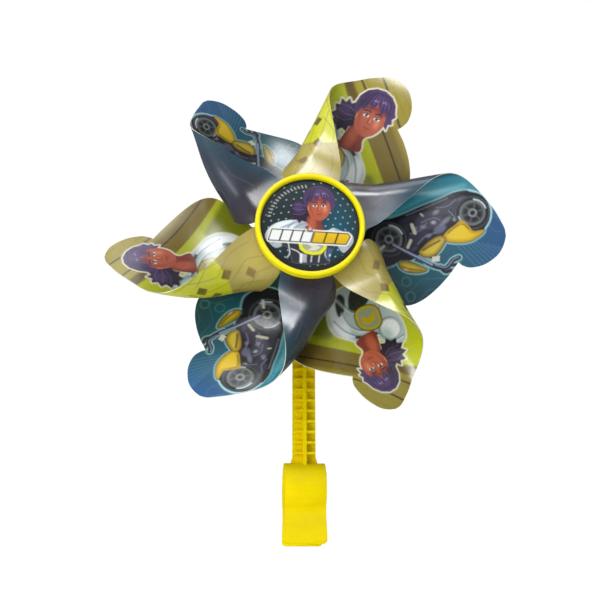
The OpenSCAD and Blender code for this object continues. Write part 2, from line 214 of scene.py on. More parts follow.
class Sheet:
    """Colours of a net of points, painted one shape over another. Lengths in millimetres."""

    def __init__(self, pts, ground):
        self.x = pts[:, 0]
        self.y = pts[:, 1]
        self.ink = np.tile(ground, (len(pts), 1)).astype(float)

    def lay(self, cover, colour):
        cover = np.clip(cover, 0, 1)[:, None]
        self.ink = self.ink * (1 - cover) + np.asarray(colour) * cover

    def blend(self, dist, colour, soft=0.35, strength=1.0):
        self.lay(strength * (0.5 - dist / soft), colour)

    def disc(self, x, y, r):
        return np.hypot(self.x - x, self.y - y) - r

    def oval(self, x, y, rx, ry, turn=0.0):
        c, s = math.cos(math.radians(turn)), math.sin(math.radians(turn))
        dx, dy = self.x - x, self.y - y
        a, b = (dx * c + dy * s) / rx, (dy * c - dx * s) / ry
        k = np.hypot(a, b)
        return (k - 1) * min(rx, ry)

    def bar(self, a, b, r):
        (ax, ay), (bx, by) = a, b
        ex, ey = bx - ax, by - ay
        px, py = self.x - ax, self.y - ay
        t = np.clip((px * ex + py * ey) / (ex * ex + ey * ey + 1e-9), 0, 1)
        return np.hypot(px - t * ex, py - t * ey) - r

    def path(self, points, r, smooth=True):
        line = spline(points, 5, False) if smooth else np.array(points, float)
        d = np.full(len(self.x), 1e9)
        for a, b in zip(line[:-1], line[1:]):
            d = np.minimum(d, self.bar(a, b, 0))
        return d - r

    def shape(self, points, smooth=True):
        """Signed distance to a closed outline, negative inside."""
        line = spline(points) if smooth else np.array(points, float)
        lo, hi = line.min(0) - 3, line.max(0) + 3
        near = (self.x > lo[0]) & (self.x < hi[0]) & (self.y > lo[1]) & (self.y < hi[1])
        out = np.full(len(self.x), 1e9)
        x, y = self.x[near], self.y[near]
        d = np.full(len(x), 1e9)
        inside = np.zeros(len(x), bool)
        for (ax, ay), (bx, by) in zip(line, np.roll(line, -1, 0)):
            ex, ey = bx - ax, by - ay
            t = np.clip(((x - ax) * ex + (y - ay) * ey) / (ex * ex + ey * ey + 1e-9), 0, 1)
            d = np.minimum(d, np.hypot(x - ax - t * ex, y - ay - t * ey))
            crosses = (ay > y) != (by > y)
            inside ^= crosses & (x < ax + (y - ay) * ex / np.where(ey == 0, 1e-9, ey))
        out[near] = np.where(inside, -d, d)
        return out

    def fade(self, x0, y0, x1, y1):
        """0 to 1 from one point to another."""
        ex, ey = x1 - x0, y1 - y0
        return np.clip(((self.x - x0) * ex + (self.y - y0) * ey) / (ex * ex + ey * ey), 0, 1)

    def within(self, dist, soft=0.35):
        return np.clip(0.5 - dist / soft, 0, 1)


# ---------------------------------------------------------------- the prints
CREAM = rgb(226, 222, 196)
SKIN = rgb(184, 92, 66)
SKIN_SHADE = rgb(132, 56, 42)
SKIN_LIGHT = rgb(222, 140, 104)
HAIR = rgb(80, 58, 104)
HAIR_DARK = rgb(42, 30, 54)
HAIR_LIGHT = rgb(124, 102, 154)
SUIT = rgb(176, 192, 194)
SUIT_LIGHT = rgb(232, 238, 240)
SUIT_SHADE = rgb(104, 126, 128)
SUIT_DARK = rgb(44, 48, 44)
GOLD = rgb(196, 172, 30)


def head_frame(at, up, size):
    """Local to sheet: along runs from the eyes to the crown, across to the ear side; size = chin to crown."""
    k = size / 27.0

    def q(along, across):
        return at[0] + k * (along * up[0] - across * up[1]), at[1] + k * (along * up[1] + across * up[0])

    return q, k, math.degrees(math.atan2(up[1], up[0]))


def head_parts(p, at, up, size):
    q, k, turn = head_frame(at, up, size)
    return {
        "face": p.shape([q(*c) for c in ((-12, 0.4), (-10.1, 5.0), (-6.1, 8.0), (-0.6, 9.2), (6.4, 8.1), (9.4, 0.4),
                                         (6.4, -7.4), (-0.6, -8.8), (-6.1, -7.4), (-10.2, -4.2))]),
        "neck": p.shape([q(*c) for c in ((-22.6, 9.4), (-16.6, 10.4), (-9.6, 9.2), (-3.6, 8), (-3.6, -3), (-9.1, -4),
                                         (-13.6, -1.4), (-20.6, -2.6))]),
        "ear": p.oval(*q(-2.2, 9.6), 2.4 * k, 1.5 * k, turn),
        "hair": p.shape([q(*c) for c in (
            (-1.6, 9.0), (0.6, 11.2), (4.4, 12.2), (9.4, 11.5), (13.8, 8.6), (16.4, 4), (16.8, -1.4), (14.8, -6.4),
            (11.2, -10), (7, -11.6), (5, -13), (3, -11.4), (0.6, -12.8), (-0.4, -10.6), (-3.6, -10.8), (-2, -8.6),
            (2, -8), (5.6, -6), (2.8, -4.4), (8.2, -0.6), (3.6, 2.2), (6.8, 4.2), (1.6, 6.4), (3.4, 7.6))], False),
        "tuft": p.shape([q(*c) for c in (
            (2.6, 9.6), (4.4, 12.6), (3.0, 13.6), (5.6, 16.6), (2.6, 17.2), (3.2, 20.8), (-0.2, 19.8), (-1.6, 23),
            (-4.4, 20.8), (-7.2, 23), (-8.6, 20), (-12, 20.4), (-11.6, 17), (-14.6, 15), (-12, 13), (-13, 10),
            (-9.6, 9.6), (-8, 7.4), (-4, 8.6))], False),
    }


def draw_head(p, parts, at, up, size):
    """A calm, plain head: face, ear, fringe and a tuft behind the ear."""
    q, k, turn = head_frame(at, up, size)
    p.blend(parts["neck"], SKIN_SHADE)
    p.lay(p.within(parts["neck"]) * p.within(p.oval(*q(-15.4, 5.6), 6.0 * k, 3.0 * k, turn), 2.5 * k), SKIN)
    p.blend(parts["face"], SKIN)
    p.blend(parts["ear"], SKIN_LIGHT)
    p.blend(p.oval(*q(-2.2, 9.6), 1.3 * k, 0.7 * k, turn), SKIN_SHADE, 0.5)
    # shade under the fringe, down one cheek and below the lower lip
    p.blend(p.shape([q(6, -8), q(7, 0), q(6, 8), q(2.6, 6), q(3.4, 0), q(2.6, -6)]), SKIN_SHADE, 2.0 * k, 0.7)
    p.blend(p.shape([q(5, 8), q(-3, 7.2), q(-8.5, 4), q(-11.4, 0.5), q(-9.5, 3.2), q(-4, 5.4), q(1, 5.8)]),
            SKIN_SHADE, 1.6 * k, 0.55)
    p.blend(p.oval(*q(-2.6, -4.4), 2.4 * k, 1.7 * k, turn), SKIN_LIGHT, 2.0 * k, 0.7)
    for side in (-1, 1):
        p.blend(p.oval(*q(0, 3.3 * side), 0.95 * k, 1.75 * k, turn), rgb(240, 236, 228), 0.4)
        p.blend(p.oval(*q(0.05, 3.2 * side), 0.9 * k, 0.85 * k, turn), rgb(60, 40, 44), 0.4)
        p.blend(p.path([q(0.75, 1.5 * side), q(1.15, 3.3 * side), q(0.6, 5.2 * side)], 0.24 * k), HAIR_DARK, 0.4)
        p.blend(p.path([q(2.5, 1.4 * side), q(3.0, 3.4 * side), q(2.4, 5.3 * side)], 0.42 * k), HAIR_DARK, 0.4)
    p.blend(p.path([q(-0.6, 0.5), q(-3.0, 0.9), q(-3.9, 0.8), q(-4.0, -0.5)], 0.22 * k), SKIN_SHADE, 0.4)
    p.blend(p.path([q(-1.0, -0.4), q(-3.2, -0.3)], 0.3 * k), SKIN_LIGHT, 0.7)
    p.blend(p.path([q(-6.6, -1.9), q(-6.75, 0), q(-6.6, 1.9)], 0.26 * k), rgb(120, 44, 38), 0.4)
    p.blend(p.path([q(-8.0, -0.9), q(-8.1, 0.9)], 0.2 * k), SKIN_SHADE, 0.6, 0.7)
    # tuft
    p.blend(parts["tuft"], HAIR_DARK)
    inside = p.within(parts["tuft"])
    p.lay(inside * p.within(p.oval(*q(-1.6, 15.6), 4.6 * k, 3.6 * k, turn), 3.0 * k) * 0.8, HAIR)
    for line in (((-1, 10), (1, 14), (0.6, 19)), ((-3, 10), (-3.6, 15), (-2.4, 20)),
                 ((-5, 10.4), (-7.4, 14), (-7, 20))):
        p.lay(inside * 0.5 * p.within(p.path([q(*c) for c in line], 0.25 * k), 0.6), HAIR_LIGHT)
    # strands from the crown forwards, a shaded side and two glints
    p.blend(parts["hair"], HAIR)
    inside = p.within(parts["hair"])
    for a in (-8.5, -6.2, -4.0, -1.6, 0.8, 3.2, 5.6, 8.0):
        d = p.path([q(14.5, a * 0.35), q(11, a * 0.8), q(7, a), q(3.8, a * 1.12)], 0.25 * k)
        p.lay(inside * 0.75 * p.within(d, 0.5), HAIR_DARK)
        d = p.path([q(13.5, a * 0.5 + 1.1), q(10, a * 0.85 + 1.1), q(8, a + 1.1)], 0.28 * k)
        p.lay(inside * 0.6 * p.within(d, 0.7), HAIR_LIGHT)
    shade = p.shape([q(14, 3), q(13, 8), q(8, 10.5), q(1, 10), q(4, 7), q(9, 4)])
    p.lay(inside * 0.6 * p.within(shade, 3.0 * k), HAIR_DARK)
    for a, b in ((10.2, -3.6), (9.4, 1.4)):
        d = p.path([q(a, b - 0.9), q(a + 0.3, b), q(a, b + 1.0)], 0.4 * k)
        p.lay(inside * 0.7 * p.within(d, 0.7), rgb(160, 146, 188))


def rider_front(pts):
    """Art side of the yellow vanes: slanting stripes and a rider's head and shoulders."""
    p = Sheet(pts, rgb(152, 139, 50))
    p.lay(p.fade(60, -34, 104, 10) * 0.35, rgb(176, 160, 62))
    p.blend(p.shape([(43, -60), (66, -34), (97, 4), (90, 8), (74, 5), (58, -16), (40, -36)], False),
            rgb(122, 104, 38), 3.0, 0.75)
    p.blend(p.shape([(20, -44), (38, -44), (60, -16), (78, 6), (70, 9), (40, 4), (20, 0)], False),
            rgb(176, 182, 22), 0.5)
    p.blend(p.shape([(20, -44), (30, -44), (46, -28), (57, -12), (52, 0), (20, 0)], False),
            rgb(120, 126, 22), 2.5, 0.8)
    p.blend(p.shape([(10, 110), (10, 26), (60, 14), (83, 15), (96, 31), (110, 60)], False),
            rgb(186, 194, 26), 0.4)
    p.blend(p.shape([(84, 14), (92, 16), (104, 31), (99, 36), (93, 27)], False), rgb(104, 86, 34), 1.2, 0.75)
    for a, b in (((54, -38), (104, 23)), ((82, -18), (116, 18))):
        p.blend(p.bar(a, b, 0.55), rgb(58, 44, 26), 0.5, 0.95)
    for shift in (-7, 9, 15):
        p.blend(p.bar((66 + shift, -34), (112 + shift, 20), 0.12), rgb(110, 96, 36), 0.5, 0.5)

    pose = ((85.6, 5.4), (0.998, 0.06), 27)
    head = head_parts(p, *pose)
    suit = p.shape([(33, 2), (38, -5), (47, -9), (56, -7.5), (62.5, -1), (66.4, 4.6), (66.8, 14), (72, 19), (77, 25),
                    (76, 30), (68, 32), (59, 30), (50, 24.5), (41, 21), (33, 15)])
    figure = np.minimum.reduce([suit, *head.values()])
    p.blend(figure - 0.95, CREAM, 0.5)

    p.blend(suit, SUIT)
    body = p.within(suit)
    p.lay(body * p.within(p.oval(50, -3.2, 12, 4.2, 8), 2.0), SUIT_LIGHT)
    p.lay(body * p.within(p.shape([(34, 12), (40, 6), (48, 5), (47, 14), (42, 19), (35, 17)]), 0.7), SUIT_DARK)
    p.lay(body * p.within(p.shape([(35, 2), (40, -2), (47, -2.6), (45, 1.6), (38, 4.5)]), 0.7), SUIT_DARK)
    p.lay(body * p.within(p.oval(65.5, 23.5, 7.6, 6.4, 30), 0.5), SUIT_SHADE)
    p.lay(body * p.within(p.oval(65.7, 23.8, 6.6, 5.4, 30), 1.6), SUIT_LIGHT)
    p.lay(body * p.within(p.oval(68, 21.4, 4.2, 2.6, 30), 3.0) * 0.7, rgb(164, 192, 198))
    for line in ([(48, -6), (56, -2), (62, 4), (64, 12), (66, 17)], [(45, 0), (53, 1.4), (59, 6), (61.5, 13)],
                 [(44, 22), (52, 21), (58, 17.5)], [(71, 19), (73.5, 24), (73, 30)], [(36, 0), (45, 4), (49, 8)]):
        p.lay(body * p.within(p.path(line, 0.34), 0.5), SUIT_SHADE)
        p.lay(body * p.within(p.path([(x + 0.9, y - 0.7) for x, y in line], 0.3), 0.8) * 0.8, SUIT_LIGHT)
    p.lay(body * p.within(p.path([(62.6, 3), (65.2, 9), (65, 15)], 0.9), 0.6), SUIT_DARK)
    badge = [(47.2, 11), (49.4, 6.8), (56, 6.4), (60.6, 9.8), (62, 16), (59.6, 20), (52, 20.2), (48.2, 16.6)]
    p.blend(p.shape(badge) - 0.7, rgb(70, 66, 40), 0.5)
    p.blend(p.shape(badge), GOLD, 0.45)
    p.blend(p.shape(badge) + 1.5, rgb(150, 158, 128), 0.5)
    p.blend(p.shape([(52, 9.4), (56.4, 9.2), (58.6, 13.4), (56.4, 17.6), (52, 17.4), (54.4, 13.4)], False),
            GOLD, 0.45)

    draw_head(p, head, *pose)
    return p.ink


def rider_back(pts):
    """Back of the yellow vanes: khaki by the hub, bright beyond, with squares and fine circuit lines."""
    p = Sheet(pts, rgb(168, 152, 70))
    p.lay(p.fade(30, 60, 22, 76) * 0.7, rgb(140, 124, 46))
    p.lay(p.within(p.oval(39, 50, 10, 16, 20), 14) * 0.45, rgb(192, 180, 100))
    p.lay(p.within(p.disc(26, 34, 12), 12) * 0.6, rgb(150, 134, 56))
    edge = 44.5 + 0.012 * (p.y - 35) ** 2 - p.x
    p.blend(edge, rgb(204, 208, 34), 0.5)
    beyond = p.within(edge)
    p.lay(beyond * p.within(p.oval(66, 54, 12, 9, -35), 10) * 0.6, rgb(220, 222, 92))
    p.lay(beyond * p.fade(70, 34, 96, 16) * 0.6, rgb(170, 176, 24))
    for line in ([(24, 62), (36, 58), (44, 48), (58, 44), (66, 34)],
                 [(30, 30), (42, 32), (52, 22), (70, 22), (78, 12)],
                 [(26, 48), (38, 44), (48, 33), (64, 31), (74, 40)], [(34, 68), (46, 62), (52, 52), (68, 50)],
                 [(36, 8), (48, 10), (58, 2), (74, 4), (86, 14)], [(34, -12), (46, -8), (56, -18), (70, -16)],
                 [(30, 18), (40, 20), (46, 28)], [(50, 60), (58, 58), (64, 48)], [(22, 56), (30, 52), (36, 42)],
                 [(60, 62), (64, 54), (76, 44)], [(88, 4), (96, 8), (104, 2)], [(84, -6), (94, -4), (100, -10)]):
        p.blend(p.path(line, 0.16, False), rgb(120, 108, 44), 0.5, 0.75)
    for x, y, size, turn in ((34, 51, 2.3, 24), (47.4, 52, 2.3, 24), (61, 45, 2.4, 20), (53, 39.6, 2.3, 26),
                             (70, 38, 1.3, 26), (77, 31, 1.3, 26), (33, 25, 2.3, 20), (47, 18, 2.3, 22),
                             (61, 24, 2.4, 20), (40, 0, 2.3, 24), (56, -8, 2.4, 22), (74, 12, 2.3, 20),
                             (68, -20, 2.3, 24),
                             (90, -2, 2.3, 22), (52, -24, 2.2, 20), (100, 6, 1.6, 22)):
        c, s = math.cos(math.radians(turn)), math.sin(math.radians(turn))
        dx, dy = p.x - x, p.y - y
        square = np.maximum(abs(dx * c + dy * s), abs(dy * c - dx * s)) - size
        colour = np.where(p.within(edge)[:, None] > 0.5, rgb(92, 84, 34), rgb(130, 104, 56))
        p.lay(0.9 * p.within(square, 0.5), colour)
    for x, y in ((66, 41.6), (80, 36), (58, 34), (42, 40), (86, 10), (64, 6)):
        p.blend(abs(p.oval(x, y, 1.7, 0.8, 20)) - 0.2, rgb(104, 98, 30), 0.45, 0.8)
    return p.ink


def motorbike_front(pts):
    """Art side of the blue vanes: teal ground with speed lines and a motorbike."""
    p = Sheet(pts, rgb(30, 88, 112))
    p.lay(p.fade(74, 2, 48, -24), rgb(28, 62, 70))
    p.lay(p.fade(88, -4, 112, 0) * 0.85, rgb(44, 88, 142))
    p.lay(p.fade(66, 16, 52, 28), rgb(34, 78, 80))
    p.lay(p.within(p.disc(58, -8, 14), 14) * 0.6, rgb(22, 100, 112))
    sweep = p.shape([(33, 5), (46, 13), (58, 20), (72, 25), (86, 24), (96, 30),
                    (86, 40), (70, 38), (52, 28), (38, 16)])
    p.blend(sweep, rgb(52, 134, 156), 2.2, 0.9)
    p.blend(p.path([(40, 10), (50, 17), (62, 23.5), (76, 29), (88, 32)], 1.3), rgb(92, 186, 200), 3.0, 0.6)
    for k in range(10):
        a = 84 + 3.1 * k
        p.blend(p.bar((a - 4, 4 - 0.7 * k), (a + 14, -16 + 0.4 * k), 0.14), rgb(92, 148, 186), 0.5, 0.6)
    for k in range(7):
        p.blend(p.bar((98 + 2.2 * k, 26 - 3.2 * k), (104 + 2.0 * k, 20 - 3.0 * k), 0.13),
                rgb(84, 140, 176), 0.5, 0.55)
    for line in ([(56, -30), (66, -20), (80, -20)], [(62, -34), (70, -26), (78, -27)],
                 [(48, -18), (56, -26), (58, -34)],
                 [(99, 12), (106, 6), (110, 6)], [(97, 18), (103, 14), (108, 14)], [(84, 30), (94, 27), (98, 29)]):
        p.blend(p.path(line, 0.15, False), rgb(70, 132, 146), 0.5, 0.6)
    for x, y in ((57, -21.5), (59, -30)):
        p.blend(abs(p.disc(x, y, 2.6)) - 0.4, rgb(62, 120, 128), 0.5, 0.75)

    body = p.shape([(33, 4), (37, 10), (43, 14.2), (50, 15.4), (57, 17.6), (66, 21.2), (76, 24.6),
                    (84, 28), (91, 28.6),
                    (98, 25.6), (102, 19.6), (102.2, 13), (99.4, 7.2), (96, 6), (90, 6), (84, 5), (79, 2), (76, -3.5),
                    (72, -8.4), (65, -6), (60, -9), (54, -9), (50, -11.6), (44, -13), (37, -9), (33, -3)])
    fairing = p.shape([(77.6, 3.4), (80, 0.6), (86, -0.4), (92.6, 0.4), (98.6, 4.4), (99.6, 7), (94, 6.4), (91.6, 9),
                       (87.6, 12.4), (83.6, 9.6), (80, 6.8)])
    tank = p.shape([(64.4, -5), (68.4, -8), (74, -6.6), (78, -1.6), (79.4, 2.6), (76.2, 4.2), (72, 2.6), (68, -0.6)])
    lamp = p.shape([(53, -10), (57, -9.4), (63, -11.4), (69, -14.8), (64.4, -16.6), (57.4, -15.8), (53.4, -13)])
    bars = np.minimum.reduce([p.path([(69, -11), (74, -13.4), (79.6, -14.2), (83, -10.2), (86.2, -8.6)], 1.0),
                              p.path([(76, -13.4), (79, -16.4), (82, -15.6)], 0.8),
                              p.path([(80.4, -12.8), (85.6, -12.6)], 0.7)])
    figure = np.minimum.reduce([body, fairing, tank, lamp, bars])
    p.blend(figure - 1.0, rgb(142, 196, 200), 0.7)
    p.blend(figure - 0.35, rgb(40, 60, 70), 0.6)
    p.blend(body, rgb(22, 24, 32))
    inside = p.within(body)
    for x, y, rx, ry, turn, colour, power in (
            (70, 13, 8, 5, 20, (62, 62, 86), 0.8), (64, 4, 6, 4, 40, (56, 54, 76), 0.7),
            (82, 20, 7, 4, 15, (58, 60, 80), 0.8),
            (76, 8, 3.4, 2.4, 30, (104, 106, 136), 0.8), (56, 10, 3, 5, -20, (46, 48, 62), 0.7),
            (89, 24, 4, 1.6, 0, (96, 104, 124), 0.8),
            (60, 15, 6, 1.6, 18, (48, 50, 66), 0.8), (74, 17.6, 1.6, 1.0, 30, (150, 156, 176), 0.8),
            (67, 9.6, 1.4, 0.9, 0, (150, 150, 180), 0.8), (72.6, 11.8, 1.1, 0.8, 0, (196, 202, 214), 0.8),
            (84.6, 13.6, 1.6, 1.0, 40, (170, 176, 188), 0.9), (79, 12.4, 1.2, 3.2, -50, (128, 130, 156), 0.8),
            (63, 9, 1.1, 0.8, 0, (120, 120, 150), 0.8), (70, 4.4, 1.3, 0.9, 20, (128, 120, 170), 0.9),
            (62, -2.6, 2.2, 1.1, 30, (70, 66, 110), 0.8), (86, 16.6, 1.0, 3.0, 30, (92, 98, 118), 0.7)):
        p.lay(inside * power * p.within(p.oval(x, y, rx, ry, turn), 1.4), rgb(*colour))
    for line in ([(58, 16.8), (68, 20.4), (80, 25)], [(80.6, 18), (83.6, 14.6), (85.4, 12)],
                 [(66, 12), (72, 14.4), (76, 13)],
                 [(60, 6), (66, 8), (69, 12)], [(74, 20), (80, 20.6), (84, 24)], [(64, 0), (68, 4), (74, 6)]):
        p.lay(inside * 0.75 * p.within(p.path(line, 0.25), 0.5), rgb(132, 136, 160))
    for x, y, r in ((48, 3.2, 10.4), (93.2, 16.4, 9.6)):
        p.lay(inside * p.within(p.disc(x, y, r), 0.5), rgb(20, 21, 26))
        p.lay(p.within(abs(p.disc(x, y, r * 0.93)) - 0.3, 0.6) * inside * 0.6, rgb(96, 104, 116))
        p.lay(p.within(abs(p.disc(x, y, r * 0.66)) - 0.75, 0.6) * inside * 0.85, rgb(112, 120, 122))
        p.lay(p.within(abs(p.disc(x, y, r * 0.5)) - 0.3, 0.5) * inside * 0.7, rgb(66, 72, 78))
        p.lay(p.within(abs(p.disc(x, y, r * 0.2)) - 0.5, 0.5) * inside * 0.8, rgb(150, 158, 156))
        for k in range(6):
            a = math.radians(18 + 60 * k)
            spoke = p.bar((x + 0.25 * r * math.cos(a), y + 0.25 * r * math.sin(a)),
                          (x + 0.62 * r * math.cos(a), y + 0.62 * r * math.sin(a)), 0.5)
            p.lay(inside * 0.7 * p.within(spoke, 0.5), rgb(88, 96, 100))
        for a0, a1, power in ((0.4, 1.5, 0.95), (3.4, 4.2, 0.7)):
            arc = [(x + r * 0.78 * math.cos(t), y + r * 0.78 * math.sin(t)) for t in np.linspace(a0, a1, 6)]
            p.lay(inside * power * p.within(p.path(arc, 0.42), 0.6), rgb(206, 216, 222))
    p.blend(p.path([(91, 28.9), (98.4, 26.6), (103.0, 20), (103.2, 13), (100.4, 7.6)], 0.42), rgb(176, 214, 220), 0.6)
    p.blend(p.bar((41.6, -3.6), (45.2, -0.8), 0.7), rgb(206, 210, 196), 0.6, 0.9)
    for a, b, w in (((61, 11.2), (62.6, 6.4), 0.95), ((58.4, -1.8), (60.2, 2.2), 0.8), ((66, 17), (67, 16), 0.5)):
        p.blend(p.bar(a, b, w), rgb(196, 194, 172), 0.6, 0.95)

    for piece, low, high in ((fairing, rgb(168, 128, 14), rgb(226, 192, 32)),
                             (tank, rgb(120, 92, 20), rgb(210, 184, 56)),
                             (lamp, rgb(112, 94, 20), rgb(206, 178, 44))):
        p.blend(piece, low)
        p.blend(piece + 1.3, high, 2.6)
    p.blend(p.path([(80.4, 5.4), (84, 8.6), (88, 10.2), (91.4, 7.4)], 0.3), rgb(96, 76, 16), 0.5, 0.8)
    p.blend(p.path([(67, -3.6), (71.4, -1), (76, 1.4)], 0.6), rgb(74, 54, 20), 0.8, 0.8)
    p.blend(p.path([(55.4, -12.8), (60, -14.2), (66, -15)], 0.35), rgb(74, 62, 26), 0.6, 0.8)
    p.blend(p.oval(57, -14.6, 1.6, 0.7, -10), rgb(208, 160, 150), 0.6, 0.8)
    p.blend(bars, rgb(34, 34, 50))
    p.blend(p.path([(70, -10.6), (75, -13), (79.6, -13.8), (83.2, -9.8), (86, -8.2)], 0.3), rgb(128, 136, 176), 0.5)
    p.blend(p.bar((50.4, -0.4), (72, -12.6), 1.15), rgb(38, 38, 56), 0.5)
    p.blend(p.bar((50.4, 0), (71.6, -12.0), 0.55), rgb(150, 156, 190), 0.6)
    p.blend(p.shape([(71.4, -10.6), (71.8, -7.6), (76, -7.2), (75.8, -10.4)], False), rgb(206, 208, 194), 0.5)
    return p.ink


def motorbike_back(pts):
    """Back of the blue vanes: near-black and purple-grey, turning teal toward the long free edge."""
    p = Sheet(pts, rgb(42, 52, 66))
    p.lay(p.fade(52, 40, 24, 44) * 0.85, rgb(58, 50, 60))
    p.lay(p.within(p.oval(30, 62, 12, 8, -30), 8) * 0.75, rgb(38, 32, 40))
    p.lay(p.within(p.oval(30, 14, 12, 12, 0), 10) * 0.6, rgb(38, 34, 42))
    p.lay(p.within(p.oval(52, 46, 14, 5, -40), 8) * 0.5, rgb(62, 70, 86))
    p.lay(p.fade(66, 30, 96, 4) * 0.8, rgb(34, 78, 104))
    border = smooth_at(EDGE_FREE, np.clip(p.x, 29.5, 112)) - p.y
    p.lay(p.within(border - 7 + 0.08 * (70 - p.x), 12) * 0.7, rgb(36, 78, 98))
    for line in ([(36, 60), (48, 52), (60, 50)], [(30, 40), (44, 42), (56, 34), (70, 34)],
                 [(40, 26), (54, 20), (68, 22), (80, 10)],
                 [(46, 4), (58, -4), (74, -2)], [(36, -8), (50, -16), (64, -14)], [(82, 2), (92, -6), (102, -4)],
                 [(60, 12), (74, 14), (84, 24)]):
        p.blend(p.path(line, 0.15, False), rgb(94, 118, 142), 0.5, 0.5)
    return p.ink


def cap_art(pts):
    """Cap print: dotted dark ground, a rider's head and shoulders, and two plain slanting bands; round the rim, a
    painted shade.
    """
    p = Sheet(pts, rgb(30, 44, 48))
    p.lay(p.within(p.oval(14, -1, 8, 13, 0), 14) * 0.9, rgb(14, 84, 106))
    p.lay(p.within(p.oval(-17, -7, 6, 10, 0), 10) * 0.3, rgb(24, 62, 70))
    dx, dy = p.x * 0.985 + p.y * 0.17, p.y * 0.985 - p.x * 0.17
    gx, gy = dx / 4.1, dy / 3.6
    dots = np.hypot(((gx + 0.5 * (np.floor(gy) % 2)) % 1 - 0.5) * 4.1, (gy % 1 - 0.5) * 3.6) - 0.36
    p.blend(dots, rgb(196, 212, 214), 0.5, 0.85)
    # painted shade: a dark band round the rim of the disc stands in for the shadow in the corner of the cap's recess
    p.lay(p.within(-(np.hypot(p.x, p.y - 1.6) - 25.2), 1.2), rgb(38, 38, 40))
    arc = p.path([(22.6 * math.cos(t), 22.6 * math.sin(t)) for t in np.linspace(1.62, 2.98, 12)], 1.7)
    p.lay(p.within(arc, 0.8), rgb(30, 42, 46))
    for k in range(15):
        a = math.radians(168 - 5.2 * k)
        c, n = math.cos(a), math.sin(a)
        p.blend(p.bar((22.0 * c, 22.0 * n), (23.3 * c - 0.3 * n, 23.3 * n + 0.3 * c), 0.26),
                rgb(206, 214, 214), 0.5, 0.9)

    pose = ((5.0, 11.2), (0, 1), 19.4)
    head = head_parts(p, *pose)
    suit = p.shape([(-24.4, -7), (-22, -2), (-17, 1.2), (-9.5, 2.8), (-4, 2.2), (-0.6, -0.4), (3, -2.6), (9.4, -2.8),
                    (12.6, -1.2), (17, -3), (22.4, -4.6), (23.4, -9), (20, -14), (17.4, -15.4), (14.4, -11.6),
                    (12.6, -13), (10.6, -18), (9, -22), (-8, -22), (-10, -19), (-13, -12.6), (-18.6, -13.6),
                    (-22.4, -10.4)])
    p.blend(suit, rgb(172, 182, 188))
    body = p.within(suit)
    p.lay(body * p.within(p.shape([(-14, -9), (13, -9), (11, -22), (-9.6, -22)]), 1.0), rgb(50, 52, 58))
    p.lay(body * p.within(p.oval(-15, -2, 8, 4, 24), 2.5), SUIT_LIGHT)
    p.lay(body * p.within(p.oval(15, -6, 6, 3, -16), 2.5), SUIT_LIGHT)
    for line in ([(-21, -6), (-16, -2.4), (-9, 0.8)], [(-13, -3), (-9.6, 0.6), (-6, 2)],
                 [(-10, -4), (-6.6, -0.6), (-2, 1)],
                 [(10, -4), (13.6, -4.4), (16, -8)], [(14, -2.4), (17, -5), (20.6, -12)], [(-20, -11), (-17, -8)]):
        p.lay(body * p.within(p.path(line, 0.45), 0.8), rgb(142, 154, 182))
    for line in ([(-12, -10), (-11, -16), (-12.4, -19)], [(-10, -14), (-6, -16), (-4.6, -20)],
                 [(9, -12), (8, -17), (10, -20)],
                 [(1, -16), (0.4, -21)], [(5, -17), (4.4, -21)]):
        p.blend(p.path(line, 0.3), rgb(214, 218, 222), 0.5, 0.9)
    p.lay(body * p.within(p.shape([(-5.6, -16.4), (-1.8, -16.8), (-2, -21.6), (-5.8, -21.4)], False), 0.6),
          rgb(170, 174, 180))
    p.lay(body * p.within(p.bar((-4.8, -17), (-5, -21.4), 0.5), 0.9), rgb(246, 248, 250))
    p.lay(body * p.within(p.bar((10.6, -14), (9.6, -19), 1.2), 1.4), rgb(74, 92, 130))
    p.lay(body * p.within(p.oval(10.8, -17.2, 0.7, 0.7), 0.8), rgb(226, 240, 250))

    badge = [(-6.6, -9), (9.4, -9), (8.6, -13.6), (5.8, -16.6), (1.6, -17.2), (-2.6, -16.4), (-5.6, -14)]
    p.blend(p.shape(badge, False) - 0.5, rgb(82, 84, 60), 0.5)
    p.blend(p.shape(badge, False), rgb(226, 226, 38), 0.45)
    p.blend(p.shape(badge, False) + 1.7, rgb(166, 168, 138), 0.6)
    p.blend(p.shape([(-1.6, -11), (3, -11), (5.6, -12.8), (3, -14.6), (-1.6, -14.6), (1, -12.8)], False),
            rgb(214, 216, 200), 0.5)

    draw_head(p, head, *pose)

    left = p.shape([(-22.2, -9.0), (-20.4, -3.2), (1.6, -4.0), (-0.2, -9.8)], False)
    right = p.shape([(1.0, -9.9), (2.8, -4.1), (20.4, -4.8), (21.4, -6.2), (19.2, -10.4)], False)
    both = np.minimum(left, right)
    p.blend(both - 1.35, rgb(236, 238, 236), 0.5)
    p.blend(both - 0.6, rgb(52, 50, 44), 0.45)
    p.blend(left, rgb(238, 240, 238), 0.45)
    p.blend(right, rgb(232, 190, 24), 0.45)
    p.lay(p.within(right) * p.fade(10, -5, 10, -11) * 0.5, rgb(196, 150, 14))
    for k in range(1, 4):
        x = -22.2 + 5.6 * k
        p.blend(p.bar((x, -9.4), (x + 1.9, -3.4), 0.42), rgb(58, 58, 54), 0.45)
    for k in range(1, 3):
        x = 1.0 + 6.2 * k
        p.blend(p.bar((x, -10), (x + 1.9, -4.4), 0.42), rgb(70, 56, 20), 0.45)
    return p.ink


# ---------------------------------------------------------------- materials
def node_material(name):
    m = bpy.data.materials.new(name)
    m.use_nodes = True
    m.node_tree.nodes.clear()
    return m, m.node_tree.nodes, m.node_tree.links


